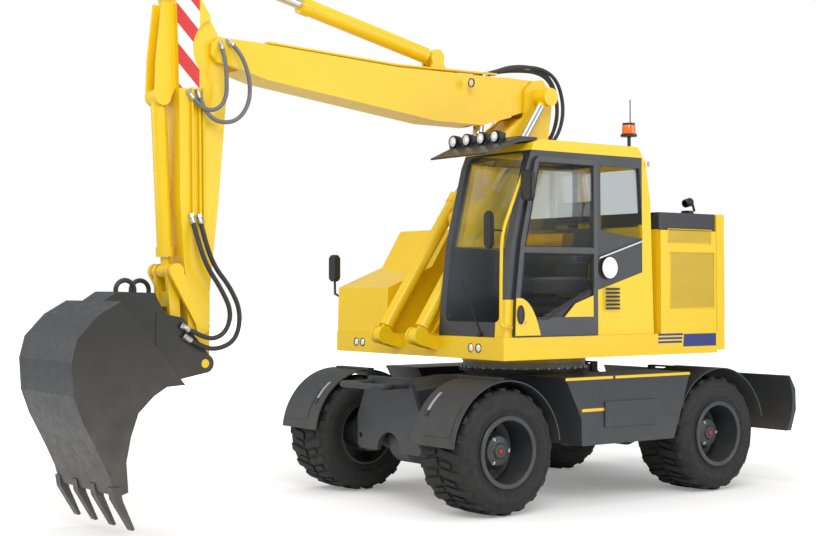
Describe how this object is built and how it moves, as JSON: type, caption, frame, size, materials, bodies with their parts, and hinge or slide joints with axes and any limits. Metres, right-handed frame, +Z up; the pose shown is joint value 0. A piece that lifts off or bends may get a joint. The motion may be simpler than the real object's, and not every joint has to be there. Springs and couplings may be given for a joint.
{
  "type": "wheeled excavator",
  "caption": "Wheeled excavator with a swinging upper structure, glazed cab, two-piece boom, arm, bucket on a quick coupler and a rear blade.",
  "frame": {"origin": "centre of the machine's bounding box on the ground", "axes": "+X to the front where the bucket is, +Y to the left (cab side), +Z up"},
  "size_m": [7.282, 2.84, 4.68],
  "materials": {
    "black_plastic": "matte",
    "bucket_paint": "satin",
    "cast_iron": "matte",
    "chrome_rod": "polished",
    "dark_paint": "satin",
    "dark_plastic": "matte",
    "seat_fabric": "matte",
    "tyre_rubber": "matte",
    "yellow_paint": "gloss"
  },
  "bodies": {
    "upper": {"upper_frame": "yellow_paint", "counterweight": "yellow_paint", "engine": "cast_iron", "rear_housing": "yellow_paint", "storage_right": "yellow_paint", "cab_frame": "yellow_paint", "operator_seat": "seat_fabric", "cab_fittings": "black_plastic", "mirrors": "black_plastic"},
    "engine_hood_body": {"engine_hood": "yellow_paint"},
    "side_door_body": {"side_door_left": "yellow_paint"},
    "cab_door_body": {"cab_door": "yellow_paint"},
    "base_boom_body": {"base_boom": "yellow_paint"},
    "boom_body": {"boom": "yellow_paint"},
    "arm_body": {"arm": "yellow_paint"},
    "bucket_body": {"coupler": "bucket_paint", "bucket": "bucket_paint"},
    "rocker_body": {"rocker": "yellow_paint"},
    "tipping_link_body": {"tipping_link": "yellow_paint"},
    "lift_barrels": {"lift_cylinder_barrels": "yellow_paint"},
    "lift_rods": {"lift_cylinder_rods": "chrome_rod"},
    "adjust_barrel": {"adjust_cylinder_barrel": "yellow_paint"},
    "adjust_rod": {"adjust_cylinder_rod": "chrome_rod"},
    "arm_barrel": {"arm_cylinder_barrel": "yellow_paint"},
    "arm_rod": {"arm_cylinder_rod": "chrome_rod"},
    "bucket_barrel": {"bucket_cylinder_barrel": "yellow_paint"},
    "bucket_rod": {"bucket_cylinder_rod": "chrome_rod"},
    "blade_body": {"blade": "dark_paint"},
    "blade_barrels": {"blade_cylinder_barrels": "yellow_paint"},
    "blade_rods": {"blade_cylinder_rods": "chrome_rod"},
    "locker_door_body": {"locker_door": "dark_paint"},
    "knuckle_left_body": {"knuckle_left": "dark_paint", "fender_front_left": "dark_plastic"},
    "knuckle_right_body": {"knuckle_right": "dark_paint", "fender_front_right": "dark_plastic"},
    "wheel_front_left": {"tyre_front_left": "tyre_rubber", "rim_front_left": "dark_paint"},
    "wheel_front_right": {"tyre_front_right": "tyre_rubber", "rim_front_right": "dark_paint"},
    "wheel_rear_left": {"tyre_rear_left": "tyre_rubber", "rim_rear_left": "dark_paint"},
    "wheel_rear_right": {"tyre_rear_right": "tyre_rubber", "rim_rear_right": "dark_paint"},
    "chassis": {"chassis_frame": "dark_paint", "front_axle": "dark_paint", "front_guard": "dark_paint", "front_plate": "dark_paint", "rear_axle": "dark_paint", "rear_fenders": "dark_plastic", "slew_ring": "dark_paint", "step_boxes": "dark_paint"}
  },
  "joints": [
    {"name": "swing", "type": "hinge", "parent": "chassis", "child": "upper", "pos_m": [-1.21, 0, 1.205], "axis": [0, 0, 1], "continuous": true},
    {"name": "steer_left", "type": "hinge", "parent": "chassis", "child": "knuckle_left_body", "pos_m": [0.105, 0.66, 0.535], "axis": [0, 0, 1], "range_deg": [-28, 28]},
    {"name": "steer_right", "type": "hinge", "parent": "chassis", "child": "knuckle_right_body", "pos_m": [0.105, -0.66, 0.535], "axis": [0, 0, 1], "range_deg": [-28, 28]},
    {"name": "wheel_front_left_spin", "type": "hinge", "parent": "knuckle_left_body", "child": "wheel_front_left", "pos_m": [0.105, 0.98, 0.535], "axis": [0, 1, 0], "continuous": true},
    {"name": "wheel_rear_left_spin", "type": "hinge", "parent": "chassis", "child": "wheel_rear_left", "pos_m": [-2.495, 0.98, 0.535], "axis": [0, 1, 0], "continuous": true},
    {"name": "wheel_front_right_spin", "type": "hinge", "parent": "knuckle_right_body", "child": "wheel_front_right", "pos_m": [0.105, -0.98, 0.535], "axis": [0, 1, 0], "continuous": true},
    {"name": "wheel_rear_right_spin", "type": "hinge", "parent": "chassis", "child": "wheel_rear_right", "pos_m": [-2.495, -0.98, 0.535], "axis": [0, 1, 0], "continuous": true},
    {"name": "base_boom_lift", "type": "hinge", "parent": "upper", "child": "base_boom_body", "pos_m": [-0.61, 0, 1.75], "axis": [0, 1, 0], "range_deg": [-2, 68]},
    {"name": "boom_knee", "type": "hinge", "parent": "base_boom_body", "child": "boom_body", "pos_m": [-1.26, 0, 3.68], "axis": [0, 1, 0], "range_deg": [-55, 5]},
    {"name": "arm_swing", "type": "hinge", "parent": "boom_body", "child": "arm_body", "pos_m": [2.185, 0, 3.8], "axis": [0, -1, 0], "range_deg": [-5, 78]},
    {"name": "bucket_curl", "type": "hinge", "parent": "arm_body", "child": "bucket_body", "pos_m": [2.35, 0, 1.29], "axis": [0, -1, 0], "range_deg": [-140, 3]},
    {"name": "lift_cylinder_hinge", "type": "hinge", "parent": "upper", "child": "lift_barrels", "pos_m": [0.275, 0, 1.469], "axis": [0, 1, 0], "range_deg": [-1.76, 58.33]},
    {"name": "lift_cylinder_slide", "type": "slide", "parent": "lift_barrels", "child": "lift_rods", "axis": [-0.5703, 0, 0.8214], "range_m": [-0.97388, 0.02913]},
    {"name": "adjust_cylinder_hinge", "type": "hinge", "parent": "base_boom_body", "child": "adjust_barrel", "pos_m": [-0.55, 0, 2.5], "axis": [0, 1, 0], "range_deg": [-1.41, 0.17]},
    {"name": "adjust_cylinder_slide", "type": "slide", "parent": "adjust_barrel", "child": "adjust_rod", "axis": [-0.1191, 0, 0.9929], "range_m": [-0.05325, 0.58078]},
    {"name": "arm_cylinder_hinge", "type": "hinge", "parent": "boom_body", "child": "arm_barrel", "pos_m": [-0.11, 0, 3.975], "axis": [0, 1, 0], "range_deg": [-2.84, 0.23]},
    {"name": "arm_cylinder_slide", "type": "slide", "parent": "arm_barrel", "child": "arm_rod", "axis": [0.9753, 0, 0.2209], "range_m": [-1.18371, 0.07635]},
    {"name": "rocker_hinge", "type": "hinge", "parent": "arm_body", "child": "rocker_body", "pos_m": [2.37, 0, 1.585], "axis": [0, -1, 0], "range_deg": [-115.7, 2.53]},
    {"name": "tipping_link_hinge", "type": "hinge", "parent": "rocker_body", "child": "tipping_link_body", "pos_m": [2.605, 0, 2.02], "axis": [0, -1, 0], "range_deg": [-1.6, 72.2]},
    {"name": "bucket_cylinder_hinge", "type": "hinge", "parent": "arm_body", "child": "bucket_barrel", "pos_m": [2.68, 0, 3.404], "axis": [0, 1, 0], "range_deg": [-3.11, 0.12]},
    {"name": "bucket_cylinder_slide", "type": "slide", "parent": "bucket_barrel", "child": "bucket_rod", "axis": [-0.0541, 0, -0.9985], "range_m": [-0.01845, 0.83824]},
    {"name": "blade_hinge", "type": "hinge", "parent": "chassis", "child": "blade_body", "pos_m": [-2.77, 0, 0.62], "axis": [0, 1, 0], "range_deg": [-34, 2]},
    {"name": "blade_cylinder_hinge", "type": "hinge", "parent": "chassis", "child": "blade_barrels", "pos_m": [-2.7, 0, 0.985], "axis": [0, 1, 0], "range_deg": [-25.08, 1.52]},
    {"name": "blade_cylinder_slide", "type": "slide", "parent": "blade_barrels", "child": "blade_rods", "axis": [-0.9668, 0, -0.2555], "range_m": [-0.01082, 0.17594]},
    {"name": "cab_door_hinge", "type": "hinge", "parent": "upper", "child": "cab_door_body", "pos_m": [-0.949, 1.259, 2.2], "axis": [0, 0, -1], "range_deg": [-165, 0]},
    {"name": "side_door_hinge", "type": "hinge", "parent": "upper", "child": "side_door_body", "pos_m": [-1.747, 1.248, 1.9], "axis": [0, 0, -1], "range_deg": [0, 110]},
    {"name": "engine_hood_hinge", "type": "hinge", "parent": "upper", "child": "engine_hood_body", "pos_m": [-1.741, 0, 2.52], "axis": [0, 1, 0], "range_deg": [0, 60]},
    {"name": "locker_door_hinge", "type": "hinge", "parent": "chassis", "child": "locker_door_body", "pos_m": [-0.993, 1.288, 0.79], "axis": [0, 0, -1], "range_deg": [0, 100]}
  ],
  "couplings": [
    {"joint": "steer_right", "follows": "steer_left", "ratio": 1},
    {"joint": "lift_cylinder_hinge", "follows": "base_boom_lift", "ratio": 0.84018},
    {"joint": "lift_cylinder_slide", "follows": "base_boom_lift", "m_per_rad": -0.80408},
    {"joint": "adjust_cylinder_hinge", "follows": "boom_knee", "ratio": 0.024242},
    {"joint": "adjust_cylinder_slide", "follows": "boom_knee", "m_per_rad": -0.59265},
    {"joint": "arm_cylinder_hinge", "follows": "arm_swing", "ratio": -0.035097},
    {"joint": "arm_cylinder_slide", "follows": "arm_swing", "m_per_rad": -0.8521},
    {"joint": "rocker_hinge", "follows": "bucket_curl", "ratio": 0.80987},
    {"joint": "tipping_link_hinge", "follows": "bucket_curl", "ratio": -0.50523},
    {"joint": "bucket_cylinder_hinge", "follows": "bucket_curl", "ratio": 0.021417},
    {"joint": "bucket_cylinder_slide", "follows": "bucket_curl", "m_per_rad": -0.33613},
    {"joint": "blade_cylinder_hinge", "follows": "blade_hinge", "ratio": 0.72177},
    {"joint": "blade_cylinder_slide", "follows": "blade_hinge", "m_per_rad": -0.28985}
  ]
}
